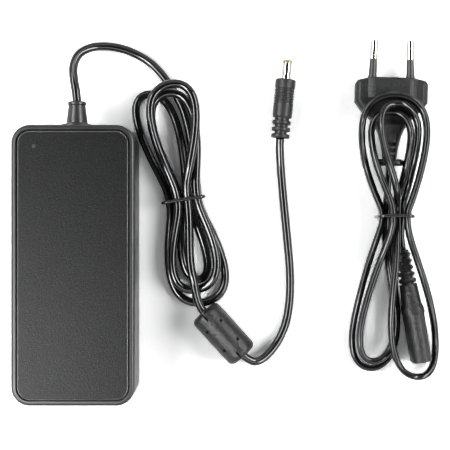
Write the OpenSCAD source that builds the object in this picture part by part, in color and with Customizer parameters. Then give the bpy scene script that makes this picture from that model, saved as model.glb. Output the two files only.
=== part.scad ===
// Laptop power adapter: housing with its electronics, DC cord with a choke bead and a barrel plug,
// and a mains lead with a two-pin plug and a figure-eight connector. Millimetres, +Z up.
// The origin is the middle of the housing's base, +Y points to the DC cord's end.

/* [Housing] */
// Width of the housing
housing_w = 58; // [57:0.5:70]
// Length of the housing
housing_l = 132; // [130:1:160]
// Height of the housing
housing_h = 30; // [29.5:0.5:36]
// Radius of the upright corners
corner_r = 8.7; // [6:0.1:10]
// Radius of the edge round the top
top_edge_r = 1.6; // [0.8:0.1:2]
// Radius of the edge round the base
base_edge_r = 2.2; // [1:0.1:3]
// Thickness of the side walls, which is also the width of the rim round the cover
wall = 2.2; // [1.6:0.1:2.4]
// Thickness of the floor
floor_t = 2.2; // [1.6:0.1:2.4]
// Thickness of the cover's flange
cover_flange_t = 2.2; // [1.6:0.1:2.4]
// Width of the shadow groove between the rim and the cover's panel
groove_w = 0.75; // [0.4:0.05:1.2]
// Depth of the shadow groove
groove_d = 1; // [0.6:0.1:1.4]
// How far the cover's panel lies under the rim
panel_drop = 0.2; // [0:0.1:0.4]
// Chamfer round the cover's panel
panel_chamfer = 0.35; // [0.2:0.05:0.6]
// Size of the cover's corner posts
post_size = 4.6; // [3:0.2:4.8]

/* [Indicator] */
// Distance of the indicator from the housing's middle, across
indicator_x = 18.3; // [14:0.1:20]
// Distance of the indicator from the DC cord's end of the housing
indicator_back = 10.2; // [9.5:0.1:11.5]
// Diameter of the light pipe
pipe_d = 1.8; // [1.2:0.1:2.4]
// Diameter of the indicator lamp
lamp_d = 3; // [2.5:0.1:3.4]

/* [Mains inlet] */
// Height of the inlet's middle over the base
inlet_z = 15; // [14.5:0.1:16]
// Width of the socket
socket_w = 16.8; // [16.6:0.1:17.4]
// Height of the socket
socket_h = 9.9; // [9.7:0.1:10.6]
// Depth of the socket
socket_depth = 12; // [11:0.5:13]
// Thickness of the material round the socket
inlet_wall = 1.6; // [1.2:0.1:1.9]
// Depth of the inlet's body behind its face
inlet_depth = 15.5; // [14.8:0.1:16]
// Diameter of an inlet pin
inlet_pin_d = 2.4; // [2.2:0.1:2.6]
// Distance between the inlet's pins
inlet_pitch = 8.6; // [8.3:0.1:8.9]
// How far the inlet's pins end behind the face
inlet_pin_recess = 2.4; // [1.5:0.1:3]
// Diameter of an inlet pin inside the body
inlet_root_d = 2; // [1.6:0.1:2.1]

/* [Circuit board] */
// Thickness of the circuit board
board_t = 1.6; // [1:0.1:2]
// Height of the stand-offs under the board
standoff_h = 3; // [2.4:0.1:3.2]
// Diameter of a stand-off
standoff_d = 5; // [4:0.5:6]
// Diameter of a stand-off's locating pin
locating_pin_d = 2.2; // [1.8:0.1:2.6]
// Clearance of a locating pin in the board
pin_clearance = 0.3; // [0.2:0.1:0.4]
// Distance between the board's end and the housing's inner end wall
board_end_gap = 6.6; // [5.8:0.1:7]
// Distance between the board's edge and the housing's inner side wall
board_side_gap = 0.5; // [0.3:0.1:0.8]
// Thickness of the heat spreader
spreader_t = 0.8; // [0.6:0.1:1]
// Thickness of the insulating film
film_t = 0.4; // [0.2:0.1:0.5]
// Distance between the heat spreader and the cover
spreader_gap = 0.6; // [0.4:0.1:1]

/* [Power parts] */
// Diameter of the bulk capacitor
bulk_cap_d = 14.5; // [13:0.5:15]
// Length of the bulk capacitor
bulk_cap_l = 31; // [26:1:31]
// Length of the transformer core along the housing
core_l = 26; // [22:1:27]
// Width of the transformer core
core_w = 21; // [18:1:22]
// Height of the transformer core
core_h = 14; // [12:0.5:15]
// Outer diameter of the transformer's winding
winding_d = 19; // [15:0.5:20]
// Outer diameter of the line choke's ring
line_choke_d = 12; // [11:0.5:13]
// Diameter of an output capacitor
output_cap_d = 10; // [8:0.5:10.5]
// Height of an output capacitor
output_cap_h = 14; // [12:0.5:15]
// Thickness of a heatsink
heatsink_t = 1.5; // [1:0.1:2]
// Height of a heatsink
heatsink_h = 14.2; // [12:0.1:15]

/* [DC cord] */
// Diameter of the DC cord
dc_cord_d = 4.25; // [4:0.05:4.3]
// Height of the DC cord's exit over the base
dc_exit_z = 15; // [14:0.1:16]
// Width of the strain relief's flange
relief_flange_d = 15.8; // [13:0.1:17]
// Thickness of the strain relief's flange
relief_flange_t = 1.3; // [1:0.1:2]
// Diameter of the strain relief at its root
relief_root_d = 10.2; // [9.2:0.1:11]
// Diameter of the strain relief at its tip
relief_tip_d = 8.2; // [7.4:0.1:9]
// Length of the strain relief outside the housing
relief_l = 12.3; // [12.3:0.1:12.6]

/* [DC hank] */
// Rings of the hank's tube for each of its loops
hank_rings = 24; // [24:2:48]
// Distance between the hank's layers, middle to middle
dc_layer = 4.72; // [4.72:0.01:4.8]
// Thickness of the wire ties
tie_d = 1; // [0.8:0.1:1.1]

/* [Choke bead] */
// Outer diameter of the choke bead
bead_d = 15.9; // [14.5:0.1:16]
// Length of the choke bead
bead_l = 29; // [28:0.1:29.2]
// Rounding of the bead's ends
bead_edge_r = 2.6; // [1.5:0.1:3]
// Diameter of the ferrite ring in the bead
ferrite_d = 12.4; // [11:0.1:13]
// Length of the ferrite ring
ferrite_l = 21; // [18:0.5:23]
// Bore of the ferrite ring
ferrite_bore = 5.4; // [5:0.1:6]

/* [DC plug] */
// Diameter of the plug's grip at the front
grip_d = 10; // [9.4:0.1:10.4]
// Length of the plug's grip
grip_l = 19; // [17:0.5:19.5]
// Length of the ribbed strain relief behind the grip
grip_relief_l = 10; // [9.4:0.1:10.4]
// Diameter of the ribs behind the grip
grip_rib_d = 9.3; // [8.4:0.1:9.6]
// Diameter of the barrel
barrel_d = 4.8; // [4.6:0.1:5.5]
// Diameter of the barrel inside the grip
barrel_root_d = 4.4; // [4.2:0.1:4.5]
// Length of the barrel outside the grip
barrel_l = 9.5; // [9:0.1:10]
// Wall of the barrel
barrel_wall = 0.35; // [0.3:0.05:0.4]
// Bore of the inner contact
contact_bore = 1.7; // [1.6:0.05:1.8]
// Wall of the inner contact
contact_wall = 0.3; // [0.25:0.05:0.35]
// Length of the insulating tip
tip_l = 1.6; // [1:0.1:2]

/* [Mains plug] */
// Width of the mains plug's body
plug_w = 35.3; // [34.5:0.1:36]
// Thickness of the mains plug's body
plug_t = 13.7; // [13:0.1:14]
// Diameter of a mains pin
mains_pin_d = 4; // [3.94:0.02:4.06]
// Length of a mains pin
mains_pin_l = 19; // [18.5:0.1:19.5]
// Diameter of a pin's insulating sleeve beside the bare pin
sleeve_d = 3.5; // [3.3:0.1:3.6]
// Diameter of a pin's insulating sleeve at the plug's face
sleeve_root_d = 4; // [3.8:0.1:4.4]
// Length of a pin's insulating sleeve
sleeve_l = 9.5; // [9:0.1:10.5]
// Distance between the pins at the plug's face
pin_pitch_root = 18.6; // [18:0.1:19.2]
// Distance between the pins at their tips
pin_pitch_tip = 17.5; // [17:0.1:18]

/* [Mains lead] */
// Width of the flat twin cord
twin_w = 5.1; // [5:0.05:5.15]
// Thickness of the flat twin cord
twin_t = 3.1; // [3:0.05:3.15]
// Distance between the mains hank's layers, middle to middle
mains_layer = 5.58; // [5.58:0.01:5.65]
// Width of the connector across its two bores
connector_w = 16.4; // [16:0.1:16.5]
// Thickness of the connector
connector_t = 9.6; // [9.2:0.1:9.7]
// Length of the connector's moulded body
connector_l = 38; // [36:0.5:38.5]
// Diameter of a connector bore
connector_bore = 2.9; // [2.7:0.1:3.1]

/* [Hidden] */

// ---- Derived sizes of the housing and of what fits in it ----
slack = 0.15;
half_w = housing_w / 2;
half_l = housing_l / 2;
inner_w = housing_w - 2 * wall;
inner_l = housing_l - 2 * wall;
inner_corner_r = corner_r - wall;
inner_end = inner_l / 2;
panel_z = housing_h - panel_drop;
groove_z = panel_z - groove_d;
cover_seat_z = groove_z - cover_flange_t;
board_z = floor_t + standoff_h;
board_top = board_z + board_t;
board_w = inner_w - 2 * board_side_gap;
board_l = inner_l - 2 * board_end_gap;
standoff_x = board_w / 2 - 5;
standoff_y = board_l / 2 - 5;
spreader_top = cover_seat_z - spreader_gap;
film_top = spreader_top - spreader_t;
shield_front = board_l / 2 - 10;
inlet_face_w = socket_w + 2 * inlet_wall;
inlet_face_h = socket_h + 2 * inlet_wall;
inlet_flange = 1;
inlet_back = -half_l + inlet_depth;
inlet_tail_y = inlet_back + 1.6;
shield_back = inlet_tail_y + 2.4;
indicator_y = half_l - indicator_back;
relief_neck_d = relief_root_d - 0.4;
relief_inner_l = 2;

// ---- Layout of the power parts on the board ----
part_gap = 2;
edge_gap = 2;
fuse_d = 8.4;
fuse_h = 8.6;
input_row_y = shield_back + 6.5;
fuse_x = -board_w / 2 + edge_gap + 0.8 + fuse_d / 2;
line_choke_t = 7;
line_choke_hole = 6;
line_choke_foot = 1.2;
line_choke_foot_w = 5.6;
winding_wall = 1;
line_choke_x = -4.5;
x_cap_w = 17.5;
x_cap_t = 8;
x_cap_h = 13.5;
x_cap_x = board_w / 2 - edge_gap - 0.8 - x_cap_w / 2;
bridge_w = 17;
bridge_t = 3.4;
bridge_h = 11;
bridge_lift = 3;
bridge_y = input_row_y + x_cap_t / 2 + part_gap + bridge_t / 2;
bulk_cap_x = board_w / 2 - edge_gap - bulk_cap_d / 2;
bulk_cap_back = bridge_y + bridge_t / 2 + part_gap;
sink_x = board_w / 2 - edge_gap - 1.4;
sink_l = 26;
primary_sink_y = input_row_y + fuse_d / 2 + part_gap + sink_l / 2;
transistor_w = 10;
transistor_t = 4.5;
transistor_case_h = 8.2;
transistor_lead = 3;
tab_t = 1.3;
lead_t = 0.8;
output_row_y = board_l / 2 - 14;
output_row_back = output_row_y - output_cap_d / 2;
core_y = output_row_back - part_gap - core_l / 2;
core_x = -3;
core_leg = 2.6;
core_post_d = 9;
core_yoke = 3;
rectifier_sink_back = bulk_cap_back + bulk_cap_l + part_gap;
rectifier_sink_l = output_row_back - part_gap / 2 - rectifier_sink_back;
rectifier_sink_y = rectifier_sink_back + rectifier_sink_l / 2;
left_row_x = -board_w / 2 + edge_gap + 3.4;
output_choke_d = 9;
output_choke_h = 11;
wire_d = 1.9;
wire_x = 2.6;
wire_y = board_l / 2 - edge_gap;

// ---- Where the cords' pieces lie, beside the housing ----
dc_r = dc_cord_d / 2;
bead_mid = [half_w + 41.7, -34.2];
bead_turn = 42.3;
bead_roll = -6;
plug_end = [half_w + 69.5, 61.7];
plug_turn = -5.65;
plug_axis_z = grip_d / 2;
mains_face = [half_w + 124, 90.5];
mains_turn = -1.6;
collar_back = 42.6;
connector_face = [half_w + 138.3, -47.6];
connector_turn = 9.6;
connector_relief_l = 16.5;
connector_relief_turn = -2.6;
connector_tail_z = 4.56;

// The DC cord leaves the strain relief along these points, from its tip and the exit's height
dc_lead_out = [
  [0, 0, 0], [-0.5, 4.7, -0.1], [-1.6, 10.7, -1], [-2.2, 16.5, -2.5],
  [-1.1, 21.5, -4], [1.4, 25, -5.5], [6.2, 27.6, -7.5], [11.6, 28.5, -9.5]
];
// It reaches the hank along these points, from the hank's start
dc_lead_in = [
  [-32.6, 28, 1.9], [-26.5, 26.6, 0.9], [-20.4, 23.9, 0.2], [-15.4, 20.7, 0],
  [-11.1, 16.7, 0], [-6.8, 11.3, 0], [-3.1, 5.7, 0], [0, 0, 0]
];
// It runs from the choke bead to the plug along these points, from the housing's side
dc_tail_route = [
  [53.6, -46.6, 7.4], [56.6, -48, 6.6], [60.1, -47.3, 5.5], [63.5, -44.8, 4.3],
  [66.6, -41.3, 3.2], [69.8, -36.2, 2.4], [72.5, -29.2, dc_r], [74.1, -20.5, dc_r],
  [74.6, -11, dc_r], [74.3, -1, dc_r], [73.4, 9.5, dc_r], [72.4, 20, dc_r],
  [71.4, 30.5, dc_r], [70.5, 40.5, dc_r], [69.8, 49.5, 2.7], [69.4, 56.5, 4.1]
];

// ---- The hanks ----
// A hank is one cord that swings through lobes above and below its tie. Each lobe has a side
// (1 above, -1 below), a reach, a half width, a lean, how far from the tie it opens at its start
// and at its end, and the layers it lies in along its way.
fullness = 0.15;
crowding = 0.045;
tie_gap = 0.25;
tie_lift = tie_d + tie_gap;
tie_reach = 24;
level_shares = [0, 0.1, 0.3, 0.5, 0.7, 0.9, 1];
dc_tie_at = [half_w + 22, 31.2];
dc_hank_turn = 9.5;
dc_slots = [7.1, -7.1, 2.35, -2.35, 6.8, -2.95, 1.95];
dc_lobes = [
  [-1, 51.5, 8.8, 1.3, 0.16, 0.16, [0, 0, 0, 0, 0, 0, 0]],
  [1, 54.5, 6.2, -7, 0.16, 0.16, [0, 0, 0, 0, 0, 0, 0]],
  [-1, 40, 4.5, 1, 0.16, 0.16, [0, 0, 0, 0, 0, 0, 0]],
  [1, 53, 7.5, -1.5, 0.16, 0.16, [0, 0.2, 1, 1, 1, 1, 1]],
  [-1, 44.5, 7.9, -2.8, 0.16, 0.16, [1, 1, 1, 0.6, 1, 1, 1]],
  [1, 56.6, 9.9, 3.9, 0.16, 0.16, [1, 1.6, 2.1, 2, 2, 2.1, 1]]
];
mains_tie_at = [half_w + 125, 23];
mains_hank_turn = 0;
mains_slots = [-4.2, -1.6, -0.5, -5.5, 5.4, 1.3, 4.8];
mains_lobes = [
  [-1, 70.5, 10.1, -7.6, 0.34, 0.14, [0, 0.7, 1, 1.2, 1.4, 1.4, 2]],
  [1, 50.5, 9.2, -2.2, 0.18, 0.04, [2, 1.7, 2.1, 2.4, 2.7, 1.3, 0]],
  [-1, 74.8, 9.9, -8, 0.44, 0.04, [0, 0, 0, 0, 0, 0.7, 1]],
  [1, 58.2, 11.6, -1.3, 0.06, 0.04, [1, 0.7, 2.3, 2.8, 2.6, 2.4, 2]],
  [-1, 78.3, 10.6, 8.8, 0.12, 0.28, [2, 1.8, 0.3, 1.1, 2, 2.4, 1]],
  [1, 54, 9.6, -3.5, 0.4, 0.18, [1, 2.4, 3.5, 3.1, 2.4, 1.2, 0]]
];

// ---- Shared functions and shapes ----
function smooth(x) = let (c = min(max(x, 0), 1)) c * c * (3 - 2 * c);

function level_at(levels, t, i = 0) =
  i == 5 || t < level_shares[i + 1]
    ? levels[i] + (levels[i + 1] - levels[i])
      * smooth((t - level_shares[i]) / (level_shares[i + 1] - level_shares[i]))
    : level_at(levels, t, i + 1);

function lobe_point(t, from, to, lobe) =
  let (
    rise = sin(180 * t),
    pinch = lobe[4] + (lobe[5] - lobe[4]) * t,
    open = rise * rise / (rise * rise + pinch * pinch),
    across = from + (to - from) * smooth(t)
      + (lobe[3] * rise - lobe[0] * lobe[2] * sin(360 * t)) * open,
    along = lobe[0] * lobe[1] * rise * (1 + fullness * (1 - rise * rise))
  )
  [across, along, level_at(lobe[6], t)];

// Rings stand closer together in a lobe's bend
function crowded(share) = share + crowding * sin(360 * share);

function run_point(p, t) =
  pow(1 - t, 3) * p[0] + 3 * t * pow(1 - t, 2) * p[1] + 3 * t * t * (1 - t) * p[2] + pow(t, 3) * p[3];

function hank_points(slots, lobes, run_in, run_out, rings) =
  let (
    steps = rings / 2,
    run_steps = rings / 4,
    last = run_out[len(run_out) - 1]
  )
  concat(
    [for (run = run_in, i = [0:run_steps - 1]) run_point(run, i / run_steps)],
    [for (n = [0:len(lobes) - 1], i = [0:steps - 1])
      lobe_point(crowded(i / steps), slots[n], slots[n + 1], lobes[n])],
    [for (run = run_out, i = [0:run_steps - 1]) run_point(run, i / run_steps)],
    [last[3]]
  );

function unit(v) = v / norm(v);

function turned(p, a) = [p[0] * cos(a) - p[1] * sin(a), p[0] * sin(a) + p[1] * cos(a), p[2]];

// Near the tie the strands lie on its wire, and not on the surface
function over_tie(along) = tie_lift * (1 - smooth(abs(along) / tie_reach));

// A hank's place: its tie's centre, its turn, the height of its lowest strands, and its layers' step
dc_hank_place = [dc_tie_at, dc_hank_turn, dc_r, dc_layer];
mains_hank_place = [mains_tie_at, mains_hank_turn, twin_w / 2, mains_layer];

// Points across, along and over a hank, as points of the part's frame
function laid(points, place) =
  [for (p = points)
    [place[0][0], place[0][1], 0]
      + turned([p[0], p[1], place[2] + p[2] * place[3] + over_tie(p[1])], place[1])];

// A point of the part's frame, as one across, along and over a hank
function in_hank(p, place) =
  let (q = turned([p[0] - place[0][0], p[1] - place[0][1], p[2] - place[2]], -place[1]))
  [q[0], q[1], (q[2] - over_tie(q[1])) / place[3]];

// The DC cord enters its hank out of the lead, and leaves it for the choke bead
bead_dir = [sin(bead_turn), -cos(bead_turn), 0];
bead_entry = [bead_mid[0], bead_mid[1], bead_d / 2] - bead_dir * bead_l / 2;
dc_run_in = [[[6.5, 46.9, 0], [9.6, 35.6, 0], [8, 14, 0], [dc_slots[0], 0, 0]]];
dc_run_out = [
  [[dc_slots[6], 0, 1], [1.6, -14, 1], [-2.6, -27, 1.85], [-1.6, -38, 1.85]],
  [[-1.6, -38, 1.85], [-1.1, -44, 1.85], in_hank(bead_entry - bead_dir * 5.5, dc_hank_place),
    in_hank(bead_entry, dc_hank_place)]
];

// The mains cord enters its hank out of the plug's collar, and leaves it for the connector's relief
relief_tilt = atan((connector_w / 2 - connector_tail_z) / connector_relief_l);
mains_start_dir = turned([0, -1, 0], mains_turn);
mains_start = [mains_face[0], mains_face[1], plug_t / 2] + mains_start_dir * collar_back;
relief_dir = turned([0, cos(relief_tilt), -sin(relief_tilt)], connector_turn + connector_relief_turn);
mains_end = [connector_face[0], connector_face[1], connector_w / 2]
  + turned([0, connector_l, 0], connector_turn) + relief_dir * connector_relief_l / cos(relief_tilt);
mains_run_in = [[in_hank(mains_start, mains_hank_place),
  in_hank(mains_start + mains_start_dir * 9.5, mains_hank_place), [-2.6, 10, 0], [mains_slots[0], 0, 0]]];
mains_run_out = [[[mains_slots[6], 0, 0], [4.5, -6, 0],
  in_hank(mains_end + relief_dir * 10, mains_hank_place), in_hank(mains_end, mains_hank_place)]];

function dc_hank_line(rings) =
  laid(hank_points(dc_slots, dc_lobes, dc_run_in, dc_run_out, rings), dc_hank_place);

function mains_hank_line(rings) =
  laid(hank_points(mains_slots, mains_lobes, mains_run_in, mains_run_out, rings), mains_hank_place);

function heading(route, i) =
  unit(route[min(i + 1, len(route) - 1)] - route[max(i - 1, 0)]);

// Lengths from the route's start to each of its points
function lengths(route) =
  [for (i = 0, sum = 0; i < len(route);
    sum = sum + (i + 1 < len(route) ? norm(route[i + 1] - route[i]) : 0), i = i + 1) sum];

// Least space between two strands of a cord that is w wide and h high, apart along it by more than away
function least_gap(route, w, h, away) =
  let (sum = lengths(route))
  min([for (i = [0:len(route) - 1], j = [i + 1:1:len(route) - 1])
    if (sum[j] - sum[i] > away)
      let (
        d = route[j] - route[i],
        level = max(0, abs(d[2]) - (h - w))
      )
      norm([d[0], d[1], level]) - w]);

// A tube along a route: w wide, h high, with its first and last rings square to the given headings
module tube(route, w, h, sides, first, last) {
  n = len(route);
  rings = [for (i = [0:n - 1])
    let (
      t = i == 0 ? unit(first) : i == n - 1 ? unit(last) : heading(route, i),
      side = unit(cross(t, [0, 0, 1])),
      up = cross(side, t)
    )
    for (k = [0:sides - 1])
      route[i] + side * w / 2 * cos(90 + 360 * k / sides) + up * h / 2 * sin(90 + 360 * k / sides)];
  walls = [for (i = [0:n - 2], k = [0:sides - 1])
    let (
      a = i * sides + k,
      b = i * sides + (k + 1) % sides,
      c = a + sides,
      d = b + sides
    )
    each [[a, c, b], [b, c, d]]];
  start_cap = [for (k = [1:sides - 2]) [0, k, k + 1]];
  end_cap = [for (k = [1:sides - 2]) (n - 1) * sides * [1, 1, 1] + [0, k + 1, k]];
  polyhedron(points = rings, faces = concat(walls, start_cap, end_cap), convexity = 12);
}

function arc(x, y, r, from, to, steps) =
  [for (i = [0:steps]) [
    x + r * cos(from + (to - from) * i / steps),
    y + r * sin(from + (to - from) * i / steps)
  ]];

function rounded_outline(w, l, r, steps = 8) =
  concat(
    arc(w / 2 - r, l / 2 - r, r, 0, 90, steps),
    arc(r - w / 2, l / 2 - r, r, 90, 180, steps),
    arc(r - w / 2, r - l / 2, r, 180, 270, steps),
    arc(w / 2 - r, r - l / 2, r, 270, 360, steps)
  );

module rounded_plate(w, l, h, r) {
  linear_extrude(h) polygon(rounded_outline(w, l, r));
}

// A solid through outlines of as many points each, drawn in X and Z, that stand at these places along Y
module loft(places, outlines) {
  n = len(places);
  m = len(outlines[0]);
  points = [for (i = [0:n - 1], p = outlines[i]) [p[0], places[i], p[1]]];
  walls = [for (i = [0:n - 2], k = [0:m - 1])
    let (
      a = i * m + k,
      b = i * m + (k + 1) % m
    )
    each [[a, b, a + m], [b, b + m, a + m]]];
  first = [for (k = [m - 1:-1:0]) k];
  last = [for (k = [0:m - 1]) (n - 1) * m + k];
  polyhedron(points = points, faces = concat(walls, [first], [last]), convexity = 8);
}

// A loft through rounded rectangles: place along Y, width, height, corner radius
module rounded_loft(sections, steps = 5) {
  loft([for (s = sections) s[0]], [for (s = sections) rounded_outline(s[1], s[2], s[3], steps)]);
}

// A block with round upright corners and rounded edges at its top and its base
module rounded_block(w, l, h, r, top_r, base_r) {
  profile = concat(
    [[0, 0]],
    arc(r - base_r, base_r, base_r, -90, 0, 5),
    arc(r - top_r, h - top_r, top_r, 0, 90, 5),
    [[0, h]]
  );
  hull()
    for (x = [-1, 1], y = [-1, 1])
      translate([x * (w / 2 - r), y * (l / 2 - r), 0])
        rotate_extrude($fn = 48) polygon(profile);
}

// What lies along +Z is laid along +Y
module along_y() {
  rotate([-90, 0, 0]) children();
}

module ring(outer_d, inner_d, h) {
  difference() {
    cylinder(d = outer_d, h = h, $fn = 48);
    translate([0, 0, -1]) cylinder(d = inner_d, h = h + 2, $fn = 48);
  }
}

// ---- Housing ----
module corner_posts() {
  for (x = [-1, 1], y = [-1, 1])
    intersection() {
      translate([x * (inner_w / 2 - post_size / 2), y * (inner_end - post_size / 2), cover_seat_z / 2])
        cube([post_size, post_size, cover_seat_z], center = true);
      translate([0, 0, floor_t / 2])
        rounded_plate(inner_w + wall, inner_l + wall, cover_seat_z - floor_t / 2, inner_corner_r);
    }
}

module standoffs() {
  for (x = [-1, 1], y = [-1, 1])
    translate([x * standoff_x, y * standoff_y, floor_t]) {
      translate([0, 0, -0.2]) cylinder(d = standoff_d, h = standoff_h + 0.2, $fn = 32);
      cylinder(d = locating_pin_d, h = standoff_h + board_t + 0.8, $fn = 32);
    }
}

module bottom_shell() {
  color("#17181a") {
    difference() {
      rounded_block(housing_w, housing_l, housing_h, corner_r, top_edge_r, base_edge_r);
      translate([0, 0, floor_t])
        rounded_plate(inner_w, inner_l, housing_h, inner_corner_r);
      translate([0, -half_l + wall + 1, inlet_z]) rotate([90, 0, 0])
        rounded_plate(inlet_face_w, inlet_face_h, wall + 2, 2.4);
      translate([0, half_l - wall - 1, dc_exit_z]) along_y()
        cylinder(d = relief_neck_d + 2 * slack, h = wall + 2, $fn = 64);
    }
    corner_posts();
    standoffs();
  }
}

module top_cover() {
  panel_w = inner_w - 2 * slack - 2 * groove_w;
  panel_l = inner_l - 2 * slack - 2 * groove_w;
  panel_r = inner_corner_r - slack - groove_w;
  color("#2b2c2e")
    difference() {
      union() {
        translate([0, 0, cover_seat_z])
          rounded_plate(inner_w - 2 * slack, inner_l - 2 * slack, cover_flange_t, inner_corner_r - slack);
        translate([0, 0, groove_z])
          rounded_plate(panel_w, panel_l, groove_d - panel_chamfer, panel_r);
        hull() {
          translate([0, 0, panel_z - panel_chamfer - 0.01])
            rounded_plate(panel_w, panel_l, 0.01, panel_r);
          translate([0, 0, panel_z - 0.01])
            rounded_plate(panel_w - 2 * panel_chamfer, panel_l - 2 * panel_chamfer, 0.01,
              panel_r - panel_chamfer);
        }
      }
      translate([-indicator_x, indicator_y, cover_seat_z - 1])
        cylinder(d = pipe_d + 0.1, h = housing_h, $fn = 32);
    }
}

module light_pipe() {
  foot_z = board_top + lamp_h + 0.4;
  flange_z = cover_seat_z - 1.2;
  color("#d8dde0")
    translate([-indicator_x, indicator_y, 0]) {
      translate([0, 0, foot_z]) cylinder(d = pipe_d, h = panel_z - foot_z, $fn = 32);
      translate([0, 0, flange_z]) cylinder(d = pipe_d + 2.4, h = cover_seat_z - flange_z, $fn = 32);
    }
}

lamp_h = 4.2;

module indicator_lamp() {
  color("#9fe29a")
    translate([-indicator_x, indicator_y, board_top])
      rotate_extrude($fn = 32)
        polygon(concat(
          [[0, 0], [lamp_d / 2 + 0.4, 0], [lamp_d / 2 + 0.4, 1], [lamp_d / 2, 1]],
          arc(0, lamp_h - lamp_d / 2, lamp_d / 2, 0, 90, 6)
        ));
}

// ---- Mains inlet ----
module socket_hole() {
  lobe_r = socket_h / 2;
  lobe_x = socket_w / 2 - lobe_r;
  for (x = [-1, 1])
    translate([x * lobe_x, 0, 0]) cylinder(r = lobe_r, h = socket_depth + 1, $fn = 64);
  translate([-lobe_x, -lobe_r + 0.5, 0]) cube([2 * lobe_x, 2 * lobe_r - 1, socket_depth + 1]);
}

module inlet_body() {
  flange_y = -half_l + wall + 0.1;
  color("#1a1a1c")
    difference() {
      union() {
        translate([0, flange_y + 1, inlet_z]) rotate([90, 0, 0])
          rounded_plate(inlet_face_w - 2 * slack, inlet_face_h - 2 * slack, flange_y + 1 + half_l, 2.4 - slack);
        translate([0, inlet_back, inlet_z]) rotate([90, 0, 0])
          rounded_plate(inlet_face_w + 2 * inlet_flange, inlet_face_h + 2 * inlet_flange,
            inlet_back - flange_y, 2.4);
      }
      translate([0, -half_l + socket_depth, inlet_z]) rotate([90, 0, 0]) socket_hole();
      for (x = [-1, 1])
        translate([x * inlet_pitch / 2, -half_l + socket_depth - 1, inlet_z]) along_y()
          cylinder(d = inlet_root_d, h = inlet_depth, $fn = 48);
    }
}

module inlet_pins() {
  tip_y = -half_l + inlet_pin_recess;
  pin_l = inlet_tail_y - tip_y;
  free_l = socket_depth - inlet_pin_recess;
  tip = 0.6;
  tail_w = 1.6;
  color("#c9ccd0")
    for (x = [-1, 1])
      translate([x * inlet_pitch / 2, tip_y, inlet_z]) {
        along_y() rotate_extrude($fn = 48)
          polygon([[0, 0], [inlet_pin_d / 2 - tip, 0], [inlet_pin_d / 2, tip],
            [inlet_pin_d / 2, free_l], [inlet_root_d / 2, free_l], [inlet_root_d / 2, pin_l - 0.2],
            [0, pin_l - 0.2]]);
        translate([-tail_w / 2, pin_l - lead_t, board_z - inlet_z])
          cube([tail_w, lead_t, inlet_z - board_z]);
      }
}

// ---- Circuit board, film and heat spreader ----
module circuit_board() {
  color("#2f6b3c")
    difference() {
      translate([-board_w / 2, -board_l / 2, board_z]) cube([board_w, board_l, board_t]);
      for (x = [-1, 1], y = [-1, 1])
        translate([x * standoff_x, y * standoff_y, board_z - 1])
          cylinder(d = locating_pin_d + 2 * pin_clearance, h = board_t + 2, $fn = 32);
      for (x = [-1, 1])
        translate([x * inlet_pitch / 2 - 0.9, inlet_tail_y - lead_t - 0.1, board_z - 1])
          cube([1.8, lead_t + 0.2, board_t + 2]);
    }
}

// A channel bent from sheet, open downwards, standing on the board
module channel(outer_w, top_z, t) {
  l = shield_front - shield_back;
  difference() {
    translate([-outer_w / 2, shield_back, board_top]) cube([outer_w, l, top_z - board_top]);
    translate([-outer_w / 2 + t, shield_back - 1, board_top - 1])
      cube([outer_w - 2 * t, l + 2, top_z - t - board_top + 1]);
  }
}

module insulating_film() {
  color("#d9c27a") channel(board_w - 2 * spreader_t, film_top, film_t);
}

module heat_spreader() {
  color("#b9bdc1") channel(board_w, spreader_top, spreader_t);
}

// ---- Power parts ----
module fuse() {
  color("#7a4a2c")
    translate([fuse_x, input_row_y, board_top]) {
      cylinder(d = fuse_d, h = fuse_h, $fn = 40);
      for (y = [-2.5, 2.5])
        translate([0, y, -board_t - 1]) cylinder(d = lead_t, h = board_t + 2, $fn = 16);
    }
}

module x_capacitor() {
  color("#c9a227")
    translate([x_cap_x, input_row_y - 1, board_top + x_cap_h / 2])
      cube([x_cap_w, x_cap_t, x_cap_h], center = true);
}

line_choke_z = board_top + line_choke_foot + winding_wall + line_choke_d / 2;

module line_choke_core() {
  color("#3e4144") {
    translate([line_choke_x, input_row_y - line_choke_t / 2, line_choke_z]) along_y()
      ring(line_choke_d, line_choke_hole, line_choke_t);
    translate([line_choke_x - line_choke_foot_w / 2, input_row_y - line_choke_t / 2, board_top])
      cube([line_choke_foot_w, line_choke_t, line_choke_z - line_choke_d / 2 + 0.6 - board_top]);
  }
}

module line_choke_winding() {
  r_in = line_choke_hole / 2;
  r_out = line_choke_d / 2;
  w = winding_wall;
  ease = 0.04;
  sweep = 110;
  color("#b5622d")
    translate([line_choke_x, input_row_y, line_choke_z]) rotate([90, 0, 0])
      for (side = [0, 180])
        rotate([0, 0, side - sweep / 2])
          rotate_extrude(angle = sweep, $fn = 64)
            difference() {
              translate([r_in - w, -line_choke_t / 2 - w])
                square([r_out - r_in + 2 * w, line_choke_t + 2 * w]);
              translate([r_in - ease, -line_choke_t / 2 - ease])
                square([r_out - r_in + 2 * ease, line_choke_t + 2 * ease]);
            }
}

module bridge_rectifier() {
  inset = 2;
  color("#222326") {
    translate([x_cap_x - bridge_w / 2, bridge_y - bridge_t / 2, board_top + bridge_lift])
      cube([bridge_w, bridge_t, bridge_h]);
    for (i = [0:3])
      translate([x_cap_x - bridge_w / 2 + inset + i * (bridge_w - 2 * inset) / 3, bridge_y, board_z - 1])
        cylinder(d = lead_t, h = bridge_lift + board_t + 1.5, $fn = 16);
  }
}

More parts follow.
